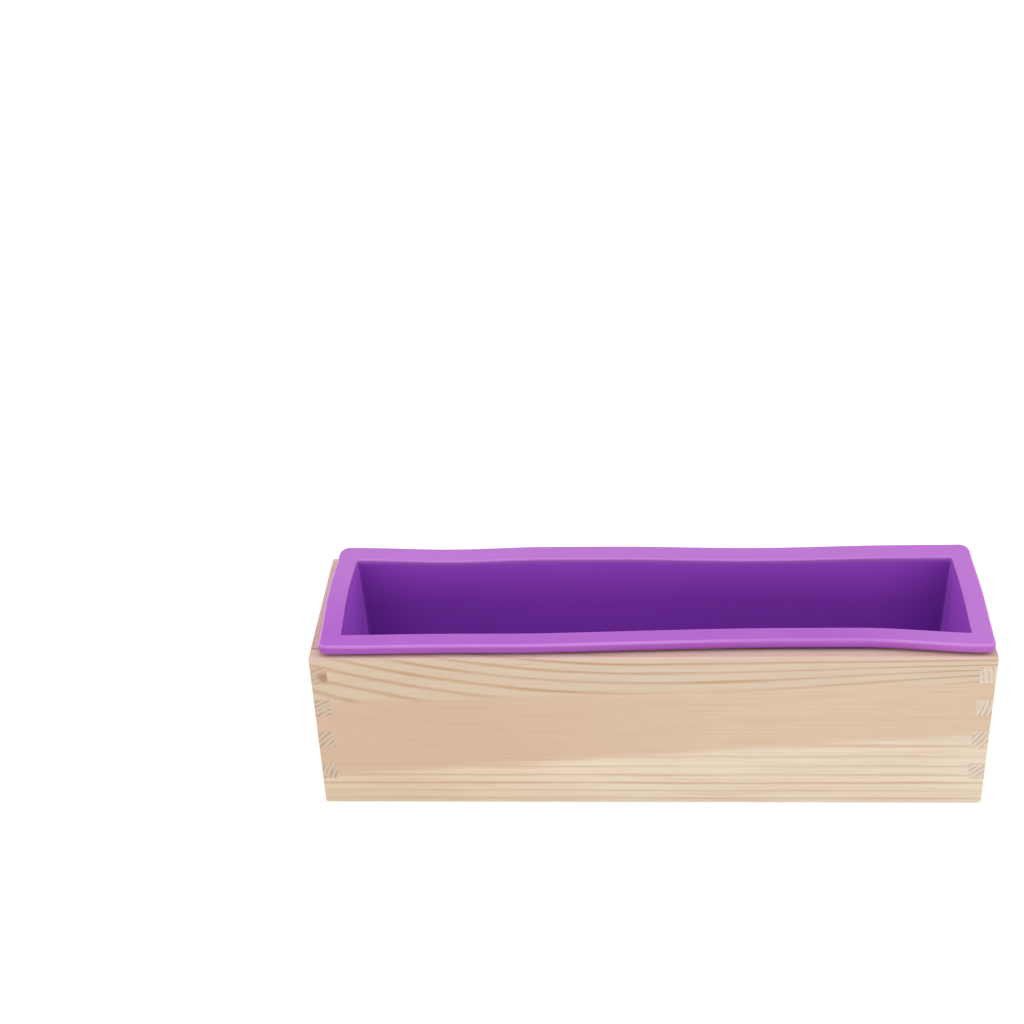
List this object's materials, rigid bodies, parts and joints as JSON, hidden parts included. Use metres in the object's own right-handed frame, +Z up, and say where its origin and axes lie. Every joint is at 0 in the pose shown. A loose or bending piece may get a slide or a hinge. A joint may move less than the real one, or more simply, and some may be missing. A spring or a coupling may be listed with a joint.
{
  "type": "soap loaf mould",
  "caption": "Finger-jointed pine box with a flexible purple silicone liner whose wide flat rim lies over the box; the liner lifts out to release the loaf.",
  "frame": {"origin": "centre of the box's footprint, on the surface that it stands on", "axes": "+X along the box's length, +Y towards its back board, +Z up out of the opening"},
  "size_m": [0.28, 0.074, 0.0835],
  "materials": {
    "pine": "bare, fine-sanded pine with visible grain",
    "silicone": "satin translucent silicone"
  },
  "bodies": {
    "box": {"front_board": "pine", "back_board": "pine", "left_end_board": "pine", "right_end_board": "pine", "bottom_board": "pine"},
    "liner": {"silicone_liner": "silicone"}
  },
  "joints": [
    {"name": "liner_lift", "type": "slide", "parent": "box", "child": "liner", "axis": [0, 0, 1], "range_m": [0, 0.085]}
  ]
}
